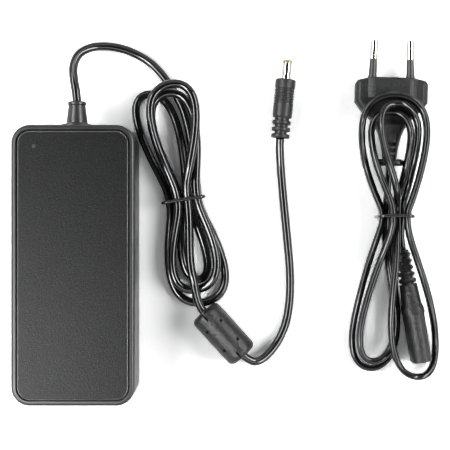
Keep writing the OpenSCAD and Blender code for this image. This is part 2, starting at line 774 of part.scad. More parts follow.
// An electrolytic capacitor's can, with the groove rolled into it over its base
module can(d, l) {
  r = d / 2;
  edge = 0.5;
  groove_at = 2.6;
  rotate_extrude($fn = 64)
    polygon([[0, 0], [r - edge, 0], [r, edge], [r, groove_at - edge], [r - edge, groove_at],
      [r, groove_at + edge], [r, l - edge], [r - edge, l], [0, l]]);
}

module bulk_capacitor() {
  color("#26323f")
    translate([bulk_cap_x, bulk_cap_back, board_top + bulk_cap_d / 2]) along_y()
      can(bulk_cap_d, bulk_cap_l);
}

// A transistor with its back at x = 0, facing +X, with its leads in the board
module transistor() {
  case_z = board_top + transistor_lead;
  tab_z = case_z + transistor_case_h;
  lead_pitch = 2.54;
  translate([0, -transistor_w / 2, case_z]) cube([transistor_t, transistor_w, transistor_case_h]);
  translate([0, -transistor_w / 2, tab_z])
    cube([tab_t, transistor_w, board_top + heatsink_h - 0.4 - tab_z]);
  for (i = [-1:1])
    translate([tab_t + 0.3, i * lead_pitch - lead_t / 2, board_z - 1])
      cube([lead_t, lead_t, transistor_lead + board_t + 1.2]);
}

// A plate heatsink with two tabs in the board, its face at x = 0
module heatsink(l) {
  tab_w = 2;
  translate([-heatsink_t, -l / 2, board_top]) cube([heatsink_t, l, heatsink_h]);
  for (y = [-1, 1])
    translate([-heatsink_t, y * (l / 2 - tab_w) - tab_w / 2, board_z - 1])
      cube([heatsink_t, tab_w, board_t + 1.5]);
}

module primary_heatsink() {
  color("#aab0b5")
    translate([-sink_x + heatsink_t, primary_sink_y, 0]) heatsink(sink_l);
}

module power_transistor() {
  color("#202124") translate([-sink_x + heatsink_t, primary_sink_y, 0]) transistor();
}

module secondary_heatsink() {
  color("#aab0b5")
    translate([sink_x - heatsink_t, rectifier_sink_y, 0]) mirror([1, 0, 0]) heatsink(rectifier_sink_l);
}

module output_rectifier() {
  color("#202124")
    translate([sink_x - heatsink_t, rectifier_sink_y, 0]) mirror([1, 0, 0]) transistor();
}

core_window = core_h - 2 * core_yoke;

module transformer_core() {
  color("#3b3d40")
    translate([core_x, core_y, board_top]) {
      difference() {
        translate([-core_w / 2, -core_l / 2, 0]) cube([core_w, core_l, core_h]);
        translate([-core_w / 2 - 1, -core_l / 2 + core_leg, core_yoke])
          cube([core_w + 2, core_l - 2 * core_leg, core_window]);
      }
      translate([0, 0, core_yoke - 0.1]) cylinder(d = core_post_d, h = core_window + 0.2, $fn = 48);
    }
}

module transformer_winding() {
  wound_d = min(winding_d, core_l - 2 * core_leg - 0.4);
  cheek = 1;
  r = wound_d / 2;
  r_in = core_post_d / 2 + 0.2;
  color("#d8b24a")
    translate([core_x, core_y, board_top + core_yoke])
      rotate_extrude($fn = 64)
        polygon([[r_in, 0], [r, 0], [r, cheek], [r - 0.8, cheek], [r - 0.8, core_window - cheek],
          [r, core_window - cheek], [r, core_window], [r_in, core_window]]);
}

module y_capacitor() {
  d = 8;
  t = 3.2;
  lift = 0.8;
  lead_y = 2.5;
  color("#2f6fa8")
    translate([left_row_x, core_y - d, board_top + lift + d / 2]) {
      rotate([0, 90, 0]) cylinder(d = d, h = t, center = true, $fn = 40);
      for (y = [-lead_y, lead_y])
        translate([0, y, board_z - 1 - board_top - lift - d / 2]) cylinder(d = lead_t, h = 5, $fn = 16);
    }
}

// A chip in a plastic body with its rows of legs through the board
module chip(l, w, h, legs) {
  lift = 0.5;
  leg_t = 0.5;
  leg_pitch = 2.54;
  translate([-w / 2, -l / 2, board_top + lift]) cube([w, l, h]);
  for (x = [-1, 1], i = [0:legs - 1])
    translate([x * (w + leg_t) / 2 - x * 0.05 - leg_t / 2, (i - (legs - 1) / 2) * leg_pitch - leg_t / 2,
      board_z - 0.8])
      cube([leg_t, leg_t, board_t + 0.8 + lift + h / 2]);
}

module optocoupler() {
  color("#ececec") translate([left_row_x, core_y + 3, 0]) chip(4.6, 6.4, 3.4, 2);
}

module control_chip() {
  color("#1f2022") translate([-4, primary_sink_y, 0]) chip(9.6, 6.4, 3.3, 4);
}

module output_capacitors() {
  step = output_cap_d + part_gap / 2;
  first_x = board_w / 2 - 2 * edge_gap - output_cap_d / 2;
  color("#24303c")
    for (i = [0:1])
      translate([first_x - i * step, output_row_y, board_top]) can(output_cap_d, output_cap_h);
}

module output_choke() {
  r = output_choke_d / 2;
  waist = r - 0.8;
  cheek = 1.5;
  color("#4a4d50")
    translate([-board_w / 2 + 3 * edge_gap + output_choke_d / 2, output_row_y, board_top])
      rotate_extrude($fn = 48)
        polygon([[0, 0], [r, 0], [r, cheek], [waist, cheek], [waist, output_choke_h - cheek],
          [r, output_choke_h - cheek], [r, output_choke_h], [0, output_choke_h]]);
}

module output_wires() {
  end_y = half_l - wall - relief_inner_l;
  color("#b03028")
    for (x = [-1, 1])
      translate([x * wire_x, wire_y, board_z - 0.8]) {
        cylinder(d = wire_d, h = dc_exit_z - board_z + 0.8, $fn = 24);
        translate([0, 0, dc_exit_z - board_z + 0.8]) sphere(d = wire_d, $fn = 24);
        translate([0, 0, dc_exit_z - board_z + 0.8]) along_y()
          cylinder(d = wire_d, h = end_y - wire_y, $fn = 24);
      }
}

// ---- DC cord ----
module cable_grommet() {
  inner_r = relief_neck_d / 2 + 1.5;
  root_y = wall + relief_inner_l;
  lip = 0.35;
  color("#101113")
    translate([0, half_l - root_y, dc_exit_z]) along_y()
      rotate_extrude($fn = 64)
        polygon([
          [0, 0], [inner_r, 0], [inner_r, relief_inner_l - slack], [relief_neck_d / 2, relief_inner_l - slack],
          [relief_neck_d / 2, root_y], [relief_flange_d / 2, root_y],
          [relief_flange_d / 2, root_y + relief_flange_t - 0.4],
          [relief_flange_d / 2 - 0.4, root_y + relief_flange_t],
          [relief_root_d / 2 + 0.8, root_y + relief_flange_t],
          [relief_root_d / 2, root_y + relief_flange_t + 0.8],
          [relief_tip_d / 2, root_y + relief_l - 1.8],
          [relief_tip_d / 2 + lip, root_y + relief_l - 1.4],
          [relief_tip_d / 2 + lip, root_y + relief_l - 0.5],
          [relief_tip_d / 2, root_y + relief_l], [0, root_y + relief_l]
        ]);
}

dc_hank_start = unit(turned(dc_run_in[0][1] - dc_run_in[0][0], dc_hank_turn));
plug_dir = [-sin(plug_turn), cos(plug_turn), 0];

module dc_cord_lead() {
  relief_tip = [0, half_l + relief_l, dc_exit_z];
  hank_end = dc_hank_line(hank_rings)[0];
  route = concat([for (p = dc_lead_out) relief_tip + p], [for (p = dc_lead_in) hank_end + p]);
  color("#0d0e10") tube(route, dc_cord_d, dc_cord_d, 8, [0, 1, 0], dc_hank_start);
}

module dc_hank() {
  route = dc_hank_line(hank_rings);
  fine = dc_hank_line(96);
  echo(dc_hank_length = lengths(fine)[len(fine) - 1],
    dc_hank_least_gap = least_gap(fine, dc_cord_d, dc_cord_d, 14));
  color("#0d0e10") tube(route, dc_cord_d, dc_cord_d, 6, dc_hank_start, bead_dir);
}

module dc_cord_tail() {
  route = concat(
    [bead_entry + bead_dir * bead_l],
    [for (p = dc_tail_route) [half_w, 0, 0] + p],
    [[plug_end[0], plug_end[1], plug_axis_z]]
  );
  color("#0d0e10") tube(route, dc_cord_d, dc_cord_d, 8, bead_dir, plug_dir);
}

// A wire tie round a bundle: a loop in the plane across the hank, with its ends twisted together
module wire_tie(at, turn, bundle_w, bundle_h, t) {
  w = bundle_w + 2 * tie_gap + t;
  h = bundle_h + 2 * tie_gap + t;
  r = 2.2;
  line = [for (p = rounded_outline(w, h, r, 4)) [p[0], 0, p[1] + (h + t) / 2]];
  n = len(line);
  sides = 6;
  points = [for (i = [0:n - 1])
    let (
      tangent = unit(line[(i + 1) % n] - line[(i + n - 1) % n]),
      out = cross(tangent, [0, 1, 0])
    )
    for (k = [0:sides - 1])
      line[i] + out * t / 2 * cos(360 * k / sides) + [0, 1, 0] * t / 2 * sin(360 * k / sides)];
  faces = [for (i = [0:n - 1], k = [0:sides - 1])
    let (
      j = (i + 1) % n,
      m = (k + 1) % sides
    )
    each [[i * sides + k, i * sides + m, j * sides + k], [i * sides + m, j * sides + m, j * sides + k]]];
  translate([at[0], at[1], 0]) rotate([0, 0, turn])
    polyhedron(points = points, faces = faces, convexity = 6);
}

module dc_tie() {
  bundle_w = 2 * max(dc_slots[0], -dc_slots[1]) + dc_cord_d;
  color("#141414") wire_tie(dc_tie_at, dc_hank_turn, bundle_w, dc_layer + dc_cord_d, tie_d);
}

// Local +Y runs along the bead, against the cord's way to the plug
module on_bead() {
  translate([bead_mid[0], bead_mid[1], bead_d / 2]) rotate([0, 0, bead_turn]) rotate([0, bead_roll, 0])
    children();
}

module ferrite_ring() {
  rotate([90, 0, 0]) translate([0, 0, -ferrite_l / 2]) ring(ferrite_d, ferrite_bore, ferrite_l);
}

module choke_bead() {
  r = bead_d / 2;
  e = bead_edge_r;
  mark_d = 1.6;
  mark_depth = 1.4;
  mark_y = 6;
  mark_turn = 33;
  notch_w = 1.3;
  notch_l = 4.4;
  notch_depth = 2.2;
  color("#141517")
    on_bead()
      difference() {
        rotate([90, 0, 0]) rotate_extrude($fn = 96)
          polygon(concat(
            [[0, -bead_l / 2]],
            arc(r - e, e - bead_l / 2, e, -90, 0, 8),
            arc(r - e, bead_l / 2 - e, e, 0, 90, 8),
            [[0, bead_l / 2]]
          ));
        ferrite_ring();
        for (y = [-1, 1], a = [-mark_turn, mark_turn])
          translate([0, y * mark_y, 0]) rotate([0, a, 0]) translate([0, 0, r - mark_depth])
            cylinder(d = mark_d, h = r, $fn = 24);
        for (y = [-1, 1])
          translate([0, y * bead_l / 2, r])
            cube([notch_w, 2 * notch_l, 2 * notch_depth], center = true);
      }
}

module ferrite_core() {
  color("#35363a") on_bead() ferrite_ring();
}

// ---- DC plug: local +Z runs from the cord to the plug's tip ----
module on_plug_axis() {
  translate([plug_end[0], plug_end[1], plug_axis_z]) rotate([0, 0, plug_turn]) along_y() children();
}

plug_front = grip_relief_l + grip_l;
barrel_seat = 6;
barrel_bore = barrel_root_d - 2 * barrel_wall;
contact_d = contact_bore + 2 * contact_wall;

module dc_plug_grip() {
  core_r = 3;
  rib_r = grip_rib_d / 2;
  rib_pitch = grip_relief_l / 3;
  rib_w = 1.9;
  r = grip_d / 2;
  ridge_pitch = 1.3;
  ridge_from = plug_front - 12;
  color("#121315")
    on_plug_axis()
      difference() {
        rotate_extrude($fn = 72)
          polygon(concat(
            [[0, 0]],
            [for (i = [0:2])
              let (z = i * rib_pitch)
              each [[rib_r - 0.3, z], [rib_r, z + 0.3], [rib_r, z + rib_w - 0.3],
                [rib_r - 0.3, z + rib_w], [core_r + i * 0.3, z + rib_w],
                [core_r + i * 0.3, z + rib_pitch]]],
            [[r - 0.6, grip_relief_l], [r - 0.2, grip_relief_l + 0.5]],
            [for (i = [0:5])
              let (z = ridge_from + i * ridge_pitch)
              each [[r - 0.1, z], [r - 0.4, z + 0.3], [r - 0.4, z + 0.7], [r - 0.1, z + 1]]],
            [[r, plug_front - 3.4], [r, plug_front - 0.8]],
            arc(r - 0.8, plug_front - 0.8, 0.8, 0, 90, 4),
            [[0, plug_front]]
          ));
        translate([0, 0, plug_front - barrel_seat])
          cylinder(d = barrel_root_d, h = barrel_seat + 1, $fn = 64);
      }
}

module dc_plug_barrel() {
  back = plug_front - barrel_seat;
  front = plug_front + barrel_l - tip_l;
  color("#c8cacc")
    on_plug_axis()
      rotate_extrude($fn = 64)
        polygon([[barrel_bore / 2, back], [barrel_root_d / 2, back], [barrel_root_d / 2, plug_front],
          [barrel_d / 2, plug_front], [barrel_d / 2, front], [barrel_bore / 2, front]]);
}

module dc_plug_insulator() {
  z0 = plug_front - barrel_seat;
  z1 = plug_front + barrel_l;
  chamfer = 0.5;
  color("#f0c020")
    on_plug_axis()
      rotate_extrude($fn = 64)
        polygon([[contact_d / 2, z0], [barrel_bore / 2, z0], [barrel_bore / 2, z1 - tip_l],
          [barrel_d / 2, z1 - tip_l], [barrel_d / 2, z1 - chamfer], [barrel_d / 2 - chamfer, z1],
          [contact_d / 2, z1]]);
}

module dc_plug_contact() {
  color("#c8cacc")
    on_plug_axis()
      translate([0, 0, plug_front - barrel_seat])
        ring(contact_d, contact_bore, barrel_seat + barrel_l - 0.4);
}

// ---- Mains plug: local +Y runs out of the face, along the pins ----
module on_mains_plug() {
  translate([mains_face[0], mains_face[1], plug_t / 2]) rotate([0, 0, mains_turn]) children();
}

wing_t = plug_t - 3;

// The plug's body, from its collar to its face: distance behind the face, width, thickness, corner radius
plug_sections = [
  [38.9, 7.2, 7.2, 3.4], [35.4, 8, 7.6, 3.6], [32, 9.2, 8.2, 3.8], [28.4, 10.9, 9, 3.8],
  [25.2, 13.3, 9.8, 3.6], [22.8, 16.2, 10.6, 3.4], [20.2, 20.2, wing_t - 0.8, 3.2],
  [16, 28.8, wing_t, 3], [11.8, plug_w, wing_t, 3], [2.6, plug_w, wing_t, 3],
  [1.2, plug_w - 1.8, wing_t - 0.4, 3], [0.2, 26.5, wing_t - 1.8, 2.4], [0, 25.5, wing_t - 2.4, 2.2]
];
collar_sections = [
  [collar_back, 12.6, 7.2, 3.5], [collar_back - 0.7, 14.6, 8.6, 4.2],
  [collar_back - 2.5, 14.6, 8.6, 4.2], [collar_back - 3.2, 12.6, 7.2, 3.5]
];

// The outline of the raised centre: its flanks curve down to the wings
function crest(foot_w, top_w, foot_t, top_t) =
  let (flank = [for (i = [0:5])
    let (s = i / 5)
    [foot_w / 2 - (foot_w - top_w) / 2 * s, foot_t / 2 + (top_t - foot_t) / 2 * (1 - pow(1 - s, 2))]])
  concat(
    flank,
    [for (i = [5:-1:0]) [-flank[i][0], flank[i][1]]],
    [for (i = [0:5]) [-flank[i][0], -flank[i][1]]],
    [for (i = [5:-1:0]) [flank[i][0], -flank[i][1]]]
  );

module mains_plug_body() {
  crest_foot = 24;
  crest_top = 14.5;
  crest_back = 10.6;
  slot_w = 5.2;
  slot_l = 1.9;
  slot_pitch = 3;
  first_slot = 32.2;
  slot_floor = 1.9;
  color("#161719")
    on_mains_plug()
      difference() {
        union() {
          rounded_loft([for (p = plug_sections) [-p[0], p[1], p[2], p[3]]]);
          rounded_loft([for (p = collar_sections) [-p[0], p[1], p[2], p[3]]]);
          translate([0, 0.4 - collar_back, 0]) along_y() cylinder(d = 7, h = 5, $fn = 32);
          loft([-crest_back, -crest_back + 0.7, -0.8, 0], [
            crest(crest_foot - 1.4, crest_top - 1.4, wing_t - 0.6, wing_t - 0.4),
            crest(crest_foot, crest_top, wing_t, plug_t),
            crest(crest_foot, crest_top, wing_t, plug_t),
            crest(crest_foot - 1, crest_top - 1, wing_t - 1.6, plug_t - 1.2)
          ]);
        }
        for (i = [0:2], z = [-1, 1])
          translate([0, -first_slot - i * slot_pitch, z * (slot_floor + 2)])
            cube([slot_w, slot_l, 4], center = true);
      }
}

// A pin's axis leans in from the plug's face to the tip
module on_pin(side) {
  lean = atan((pin_pitch_root - pin_pitch_tip) / 2 / mains_pin_l);
  on_mains_plug()
    translate([side * pin_pitch_root / 2, 0, 0]) rotate([0, 0, side * lean]) along_y() children();
}

pin_core_d = sleeve_d - 0.8;

module mains_plug_pins() {
  r = mains_pin_d / 2;
  tip = 0.7;
  color("#c4c6c8")
    for (side = [-1, 1])
      on_pin(side)
        rotate_extrude($fn = 48)
          polygon(concat(
            [[0, 0.3], [pin_core_d / 2, 0.3], [pin_core_d / 2, sleeve_l], [r, sleeve_l]],
            arc(r - tip, mains_pin_l - tip, tip, 0, 90, 5),
            [[0, mains_pin_l]]
          ));
}

module mains_pin_sleeves() {
  foot_l = 1.6;
  color("#1a1b1d")
    for (side = [-1, 1])
      on_pin(side)
        rotate_extrude($fn = 48)
          polygon([[pin_core_d / 2, 0.3], [sleeve_root_d / 2 + 0.2, 0.3],
            [sleeve_root_d / 2 + 0.2, foot_l], [sleeve_root_d / 2, foot_l + 0.2],
            [sleeve_d / 2, sleeve_l], [pin_core_d / 2, sleeve_l]]);
}

module mains_hank() {
  route = mains_hank_line(hank_rings);
  fine = mains_hank_line(96);
  echo(mains_hank_length = lengths(fine)[len(fine) - 1],
    mains_hank_least_gap = least_gap(fine, twin_t, twin_w, 14));
  color("#0d0e10")
    tube(route, twin_t, twin_w, 6, mains_start_dir, -relief_dir);
}

module mains_tie() {
  bundle_w = 2 * max([for (slot = mains_slots) abs(slot)]) + twin_t;
  top_level = max([for (lobe = mains_lobes) max(lobe[6][0], lobe[6][6])]);
  color("#141414")
    wire_tie(mains_tie_at, mains_hank_turn, bundle_w, top_level * mains_layer + twin_w, tie_d);
}

// ---- Connector of the mains lead: local +Y runs from its face to the cord, bores one over the other ----
module on_connector() {
  translate([connector_face[0], connector_face[1], connector_w / 2])
    rotate([0, 0, connector_turn]) children();
}

seam = 0.15;
contact_depth = 3.5;
contact_l = 11;
connector_pin_bore = 2.5;

// The connector's body: distance behind its face, thickness, width, corner radius
connector_sections = [
  [0, connector_t - 0.8, connector_w - 2 * seam - 0.8, 4.3],
  [0.4, connector_t, connector_w - 2 * seam, connector_t / 2 - 0.02],
  [23.2, connector_t, connector_w - 2 * seam, connector_t / 2 - 0.02],
  [24.4, connector_t + 1, connector_w - 1.4, 4.4],
  [26.4, connector_t + 0.7, connector_w - 2.2, 4.2],
  [28.6, connector_t - 0.7, connector_w - 3.2, 4],
  [33, connector_t - 0.8, 10.4, 4],
  [connector_l, 8.6, 8.6, 4.2]
];

module on_connector_relief() {
  on_connector()
    translate([0, connector_l, 0]) rotate([0, 0, connector_relief_turn]) rotate([-relief_tilt, 0, 0])
      along_y() children();
}

module connector_body() {
  relief_run = connector_relief_l / cos(relief_tilt);
  ribs = 5;
  rib_pitch = (relief_run - 0.6) / ribs;
  seam_w = 0.7;
  grip_ridge_w = 0.6;
  neck_r = 2.9;
  color("#131416") difference() {
    union() {
      on_connector() {
        rounded_loft(connector_sections, 8);
        translate([-seam_w / 2, 1, -connector_w / 2]) cube([seam_w, 21, connector_w]);
        for (x = [-1, 1])
          translate([x * 2.9 - grip_ridge_w / 2, 1.5, -connector_w / 2 + 0.9])
            cube([grip_ridge_w, 21, connector_w - 1.8]);
      }
      on_connector_relief()
        rotate_extrude($fn = 48)
          polygon(concat(
            [[0, -2.5], [3.6, -2.5]],
            [for (i = [0:ribs - 1])
              let (
                y = 0.8 + i * rib_pitch,
                rib_r = 4.3 - i * 0.2
              )
              each [[neck_r, y], [rib_r - 0.5, y], [rib_r, y + 0.5], [rib_r, y + rib_pitch * 0.6 - 0.5],
                [rib_r - 0.5, y + rib_pitch * 0.6], [neck_r, y + rib_pitch * 0.6]]],
            [[neck_r, relief_run], [0, relief_run]]
          ));
    }
    on_connector()
      for (z = [-1, 1])
        translate([0, -1, z * inlet_pitch / 2]) along_y()
          cylinder(d = connector_bore, h = contact_depth + contact_l + 1, $fn = 48);
  }
}

module connector_contacts() {
  color("#b9a35a")
    on_connector()
      for (z = [-1, 1])
        translate([0, contact_depth, z * inlet_pitch / 2]) along_y()
          ring(connector_bore, connector_pin_bore, contact_l);
}

bottom_shell();
top_cover();
light_pipe();
indicator_lamp();
inlet_body();
inlet_pins();
circuit_board();
insulating_film();
heat_spreader();
fuse();
x_capacitor();
line_choke_core();
line_choke_winding();
bridge_rectifier();
bulk_capacitor();
power_transistor();
primary_heatsink();
transformer_core();
transformer_winding();
y_capacitor();
optocoupler();
control_chip();
output_rectifier();
secondary_heatsink();
output_capacitors();
output_choke();
output_wires();
cable_grommet();
dc_cord_lead();
dc_hank();
dc_tie();
ferrite_core();
choke_bead();
dc_cord_tail();
dc_plug_grip();
dc_plug_barrel();
dc_plug_insulator();
dc_plug_contact();
mains_plug_body();
mains_plug_pins();
mains_pin_sleeves();
mains_hank();
mains_tie();
connector_body();
connector_contacts();
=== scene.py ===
"""Laptop power adapter with its DC cord and its mains lead, on a plain studio floor."""
import math

import bpy
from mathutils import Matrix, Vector


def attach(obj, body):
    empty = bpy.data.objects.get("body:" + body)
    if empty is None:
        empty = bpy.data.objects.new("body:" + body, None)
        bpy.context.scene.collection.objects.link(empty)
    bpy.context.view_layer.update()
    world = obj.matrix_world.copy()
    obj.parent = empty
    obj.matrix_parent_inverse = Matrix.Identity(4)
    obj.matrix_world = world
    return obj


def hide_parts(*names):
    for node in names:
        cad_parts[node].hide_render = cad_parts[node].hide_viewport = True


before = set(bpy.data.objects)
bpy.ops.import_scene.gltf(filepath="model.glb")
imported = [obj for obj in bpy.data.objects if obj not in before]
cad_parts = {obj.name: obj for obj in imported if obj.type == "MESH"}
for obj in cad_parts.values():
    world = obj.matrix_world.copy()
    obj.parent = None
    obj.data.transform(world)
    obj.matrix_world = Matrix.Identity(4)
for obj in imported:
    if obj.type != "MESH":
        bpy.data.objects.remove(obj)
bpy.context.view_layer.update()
MM = 0.001


# ---------------------------------------------------------------- materials
def new_material(name, colour, roughness, metallic=0.0, specular=0.5):
    """A Principled material, and the parts of it that the functions below wire up."""
    material = bpy.data.materials.new(name)
    material.use_nodes = True
    shader = material.node_tree.nodes["Principled BSDF"]
    shader.inputs["Base Color"].default_value = (*colour, 1)
    shader.inputs["Roughness"].default_value = roughness
    shader.inputs["Metallic"].default_value = metallic
    shader.inputs["Specular IOR Level"].default_value = specular
    return material, shader


def noise(material, size, detail=3.0, stretch=(1, 1, 1)):
    """Noise with features about size metres across, in the object's own coordinates."""
    nodes, links = material.node_tree.nodes, material.node_tree.links
    place = nodes.new("ShaderNodeTexCoord")
    scale = nodes.new("ShaderNodeMapping")
    scale.inputs["Scale"].default_value = stretch
    texture = nodes.new("ShaderNodeTexNoise")
    texture.inputs["Scale"].default_value = 1 / size
    texture.inputs["Detail"].default_value = detail
    links.new(place.outputs["Object"], scale.inputs["Vector"])
    links.new(scale.outputs["Vector"], texture.inputs["Vector"])
    return texture.outputs["Fac"]


def spread(material, source, low, high):
    """Maps a noise's middle range onto low to high."""
    nodes, links = material.node_tree.nodes, material.node_tree.links
    ramp = nodes.new("ShaderNodeMapRange")
    ramp.inputs["From Min"].default_value = 0.3
    ramp.inputs["From Max"].default_value = 0.7
    ramp.inputs["To Min"].default_value = low
    ramp.inputs["To Max"].default_value = high
    links.new(source, ramp.inputs["Value"])
    return ramp.outputs["Result"]


def mottle(material, shader, source, dark, light):
    """The base colour wanders between two colours."""
    nodes, links = material.node_tree.nodes, material.node_tree.links
    mix = nodes.new("ShaderNodeMix")
    mix.data_type = "RGBA"
    mix.inputs["A"].default_value = (*dark, 1)
    mix.inputs["B"].default_value = (*light, 1)
    links.new(spread(material, source, 0, 1), mix.inputs["Factor"])
    links.new(mix.outputs["Result"], shader.inputs["Base Color"])


def bump(material, shader, source, height):
    """Raises the surface by height metres where the noise is light."""
    nodes, links = material.node_tree.nodes, material.node_tree.links
    node = nodes.new("ShaderNodeBump")
    node.inputs["Distance"].default_value = height
    node.inputs["Strength"].default_value = 1.0
    links.new(source, node.inputs["Height"])
    links.new(node.outputs["Normal"], shader.inputs["Normal"])


def plastic(name, colour, roughness, grain, height, vary=0.25, fleck=12 * MM, patchy=0.12,
            specular=0.5):
    """Moulded plastic: fine grain, slightly uneven gloss, and flecks of darker and lighter colour.

    grain and fleck are the sizes of the bumps and of the flecks, and height is that of the bumps,
    in metres. vary and patchy are the shares by which the colour and the roughness vary.
    """
    material, shader = new_material(name, colour, roughness, specular=specular)
    fine = noise(material, grain)
    broad = noise(material, fleck, detail=4)
    dark = [c * (1 - vary) for c in colour]
    light = [c * (1 + vary) for c in colour]
    mottle(material, shader, broad, dark, light)
    patches = noise(material, 5 * MM, detail=5)
    gloss = spread(material, patches, roughness * (1 - patchy), roughness * (1 + patchy))
    material.node_tree.links.new(gloss, shader.inputs["Roughness"])
    bump(material, shader, fine, height)
    return material


def metal(name, colour, roughness, grain=0.4 * MM, stretch=(1, 1, 1), height=0.01 * MM):
    """Plated or rolled metal with fine brushing and a few dull patches."""
    material, shader = new_material(name, colour, roughness, metallic=1.0)
    brushed = noise(material, grain, detail=4, stretch=stretch)
    patches = noise(material, 3 * MM, detail=5)
    gloss = spread(material, patches, roughness * 0.8, roughness * 1.2)
    material.node_tree.links.new(gloss, shader.inputs["Roughness"])
    dull = [c * 0.9 for c in colour]
    mottle(material, shader, noise(material, 4 * MM, detail=4), dull, colour)
    bump(material, shader, brushed, height)
    return material


HOUSING = plastic("housing_plastic", (0.012, 0.0125, 0.014), 0.38, 0.25 * MM, 0.006 * MM,
                  specular=0.42)
PANEL = plastic("panel_plastic", (0.0075, 0.008, 0.0088), 0.36, 0.6 * MM, 0.11 * MM,
                vary=0.7, fleck=0.9 * MM, patchy=0.02, specular=0.15)
# The panel edge's light grey is a painted highlight along the panel's chamfer, not the plastic's own
# colour
PANEL_EDGE_HIGHLIGHT = plastic("panel_edge_painted_highlight", (0.07, 0.07, 0.072), 0.25, 0.3 * MM, 0.01 * MM,
                     vary=0.3, fleck=3 * MM)
INLET = plastic("inlet_plastic", (0.03, 0.03, 0.033), 0.4, 0.3 * MM, 0.01 * MM)
CORD = plastic("cord_sheath", (0.006, 0.006, 0.007), 0.12, 0.6 * MM, 0.006 * MM, vary=0.3)
TWIN_CORD = plastic("twin_cord_sheath", (0.006, 0.006, 0.0065), 0.16, 0.6 * MM, 0.01 * MM,
                    vary=0.3, specular=0.32)
CONNECTOR = plastic("connector_plastic", (0.011, 0.011, 0.012), 0.42, 1.1 * MM, 0.35 * MM,
                    vary=0.4, fleck=2 * MM, specular=0.3)
MOULDING = plastic("moulding_plastic", (0.013, 0.0133, 0.015), 0.36, 0.35 * MM, 0.03 * MM,
                   vary=0.3, fleck=1.8 * MM)
GRIP = plastic("grip_plastic", (0.011, 0.0113, 0.0125), 0.42, 0.8 * MM, 0.14 * MM,
               vary=0.4, fleck=1.8 * MM, specular=0.34)
BEAD = plastic("bead_plastic", (0.009, 0.0094, 0.0106), 0.38, 0.9 * MM, 0.24 * MM,
               vary=0.5, fleck=1.8 * MM, specular=0.36)
PLUG = plastic("plug_plastic", (0.01, 0.0105, 0.012), 0.4, 0.9 * MM, 0.26 * MM,
               vary=0.35, fleck=1.8 * MM, specular=0.25)
TIE = plastic("tie_coating", (0.014, 0.014, 0.015), 0.2, 0.3 * MM, 0.01 * MM)
YELLOW = plastic("tip_plastic", (0.5, 0.43, 0.1), 0.3, 0.3 * MM, 0.006 * MM, vary=0.08)
LIGHT_PIPE = plastic("light_pipe_plastic", (0.11, 0.115, 0.12), 0.15, 0.3 * MM, 0.004 * MM,
                     vary=0.1)
LENS = plastic("lamp_lens", (0.35, 0.6, 0.35), 0.2, 0.3 * MM, 0.004 * MM, vary=0.1)
BOARD = plastic("board_laminate", (0.03, 0.13, 0.05), 0.4, 0.5 * MM, 0.02 * MM, vary=0.15)
FILM = plastic("amber_film", (0.55, 0.4, 0.14), 0.3, 0.5 * MM, 0.01 * MM, vary=0.1)
BROWN = plastic("fuse_case", (0.2, 0.09, 0.04), 0.4, 0.3 * MM, 0.01 * MM)
AMBER_CASE = plastic("capacitor_case", (0.6, 0.4, 0.04), 0.35, 0.3 * MM, 0.01 * MM, vary=0.1)
FERRITE = plastic("ferrite", (0.05, 0.052, 0.056), 0.6, 0.2 * MM, 0.03 * MM)
COPPER = plastic("enamelled_wire", (0.5, 0.19, 0.07), 0.3, 0.5 * MM, 0.05 * MM, vary=0.15)
CHIP = plastic("chip_case", (0.018, 0.018, 0.02), 0.55, 0.15 * MM, 0.015 * MM)
SLEEVE = plastic("shrink_sleeve", (0.02, 0.03, 0.05), 0.25, 0.5 * MM, 0.006 * MM)
TAPE = plastic("winding_tape", (0.6, 0.42, 0.12), 0.4, 0.5 * MM, 0.02 * MM, vary=0.12)
DISC = plastic("disc_coating", (0.05, 0.2, 0.42), 0.3, 0.4 * MM, 0.015 * MM, vary=0.15)
WHITE_CASE = plastic("white_case", (0.7, 0.7, 0.68), 0.5, 0.2 * MM, 0.012 * MM, vary=0.05)
RED_WIRE = plastic("red_insulation", (0.4, 0.04, 0.03), 0.4, 0.3 * MM, 0.01 * MM, vary=0.12)
PLATED = metal("nickel_plate", (0.5, 0.485, 0.46), 0.12, height=0.001 * MM)
SHEET = metal("rolled_sheet", (0.72, 0.73, 0.74), 0.4, stretch=(1, 0.08, 1))
BRASS = metal("brass_contact", (0.68, 0.53, 0.24), 0.3)

NODE_MATERIALS = {
    "bottom_shell": HOUSING, "top_cover": PANEL, "light_pipe": LIGHT_PIPE, "indicator_lamp": LENS,
    "inlet_body": INLET, "inlet_pins": PLATED, "circuit_board": BOARD, "insulating_film": FILM,
    "heat_spreader": SHEET, "fuse": BROWN, "x_capacitor": AMBER_CASE, "line_choke_core": FERRITE,
    "line_choke_winding": COPPER, "bridge_rectifier": CHIP, "bulk_capacitor": SLEEVE,
    "power_transistor": CHIP, "primary_heatsink": SHEET, "transformer_core": FERRITE,
    "transformer_winding": TAPE, "y_capacitor": DISC, "optocoupler": WHITE_CASE,
    "control_chip": CHIP, "output_rectifier": CHIP, "secondary_heatsink": SHEET,
    "output_capacitors": SLEEVE, "output_choke": FERRITE, "output_wires": RED_WIRE,
    "cable_grommet": MOULDING, "dc_cord_lead": CORD, "dc_hank": CORD, "dc_tie": TIE,
    "ferrite_core": FERRITE, "choke_bead": BEAD, "dc_cord_tail": CORD, "dc_plug_grip": GRIP,
    "dc_plug_barrel": PLATED, "dc_plug_insulator": YELLOW, "dc_plug_contact": PLATED,
    "mains_plug_body": PLUG, "mains_plug_pins": PLATED, "mains_pin_sleeves": MOULDING,
    "mains_hank": TWIN_CORD, "mains_tie": TIE, "connector_body": CONNECTOR,
    "connector_contacts": BRASS,
}
for node_name, node_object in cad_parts.items():
    node_object.data.materials.clear()
    node_object.data.materials.append(NODE_MATERIALS[node_name])


